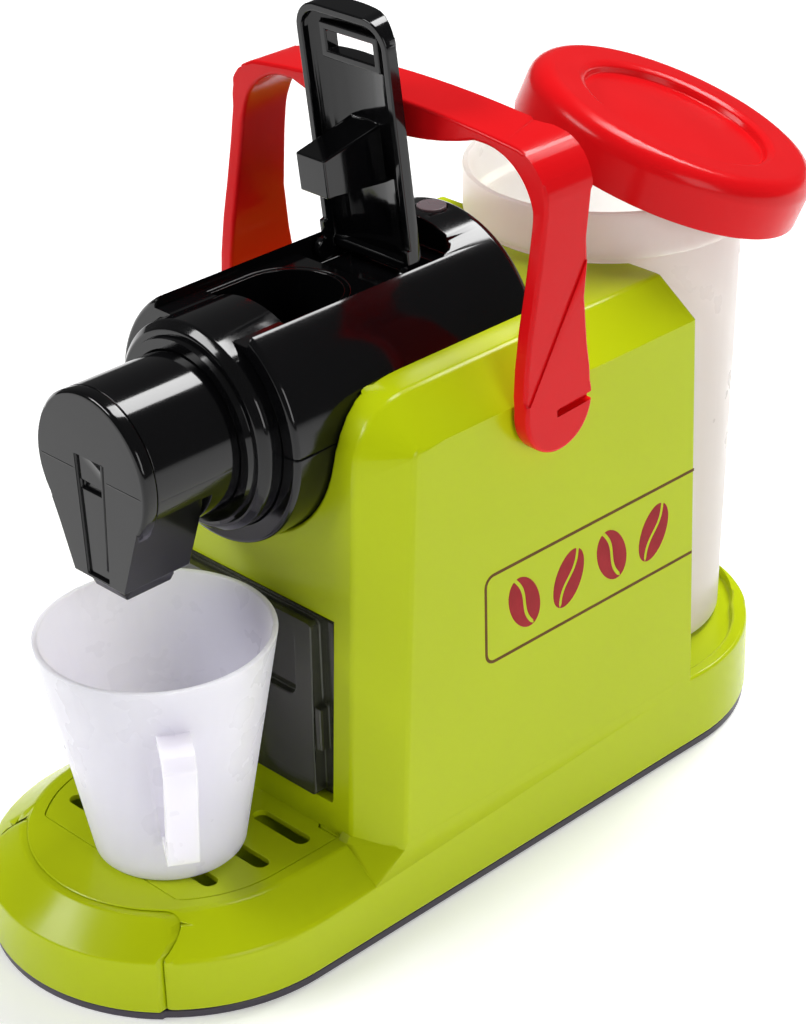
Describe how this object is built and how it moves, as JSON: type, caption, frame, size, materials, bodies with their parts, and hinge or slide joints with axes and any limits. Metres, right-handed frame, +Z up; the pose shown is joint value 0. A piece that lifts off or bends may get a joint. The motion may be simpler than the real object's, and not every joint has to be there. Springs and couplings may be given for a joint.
{
  "type": "toy coffee maker",
  "caption": "Play coffee maker with a tall housing, a lever-topped brew unit over a cup, a drip tray, a capsule drawer, a lidded water tank and a swinging carrying handle.",
  "frame": {"origin": "middle of the base's underside, where it stands on the table", "axes": "+Z up, -Y towards the spout and the cup, +X to the side panel shown in the picture"},
  "size_m": [0.1172, 0.2738, 0.234],
  "materials": {
    "green_plastic": "glossy moulded plastic",
    "dark_plastic": "satin moulded plastic",
    "black_plastic": "glossy moulded plastic",
    "smoky_plastic": "smoky clear plastic",
    "red_plastic": "glossy moulded plastic",
    "milky_plastic": "milky half-clear plastic",
    "cup_plastic": "milky half-clear plastic",
    "button_plastic": "glossy moulded plastic",
    "screw_steel": "bright plated steel"
  },
  "bodies": {
    "housing": {"main_housing": "green_plastic", "drawer_case": "green_plastic", "base_shell": "green_plastic", "base_plate": "dark_plastic", "base_screws": "screw_steel", "drip_grille": "green_plastic", "brew_lower_shell": "black_plastic", "brew_upper_shell": "black_plastic", "shell_screws": "screw_steel", "capsule_sleeve": "black_plastic", "collar_ring": "black_plastic", "nozzle_tube": "black_plastic", "spout_head": "black_plastic", "button_spring": "screw_steel", "handle_stud_right": "red_plastic", "handle_stud_left": "red_plastic"},
    "drip_tray": {"drip_tray": "green_plastic"},
    "capsule_drawer": {"capsule_drawer": "smoky_plastic"},
    "lever": {"lever": "black_plastic"},
    "top_button": {"top_button": "button_plastic"},
    "carry_handle": {"carry_handle": "red_plastic"},
    "water_tank": {"water_tank": "milky_plastic"},
    "tank_lid": {"tank_lid": "red_plastic"},
    "cup": {"cup": "cup_plastic"}
  },
  "joints": [
    {"name": "lever_hinge", "type": "hinge", "parent": "housing", "child": "lever", "pos_m": [0, -0.003, 0.1635], "axis": [1, 0, 0], "range_deg": [0, 83.5]},
    {"name": "handle_hinge", "type": "hinge", "parent": "housing", "child": "carry_handle", "pos_m": [0, 0.0083, 0.137], "axis": [1, 0, 0], "range_deg": [-30, 0]},
    {"name": "button_press", "type": "slide", "parent": "housing", "child": "top_button", "axis": [0, 0, -1], "range_m": [0, 0.0015], "stiffness_N_per_m": 200, "deforming": ["button_spring"]},
    {"name": "tray_slide", "type": "slide", "parent": "housing", "child": "drip_tray", "axis": [0, -1, 0], "range_m": [0, 0.045]},
    {"name": "drawer_slide", "type": "slide", "parent": "housing", "child": "capsule_drawer", "axis": [0, -1, 0], "range_m": [0, 0.025]},
    {"name": "cup_slide", "type": "slide", "parent": "capsule_drawer", "child": "cup", "axis": [0, -1, 0], "range_m": [0, 0.03]},
    {"name": "tank_lift", "type": "slide", "parent": "housing", "child": "water_tank", "axis": [0, 0, 1], "range_m": [0, 0.12]},
    {"name": "lid_lift", "type": "slide", "parent": "water_tank", "child": "tank_lid", "axis": [0, 0, 1], "range_m": [0, 0.05]}
  ]
}
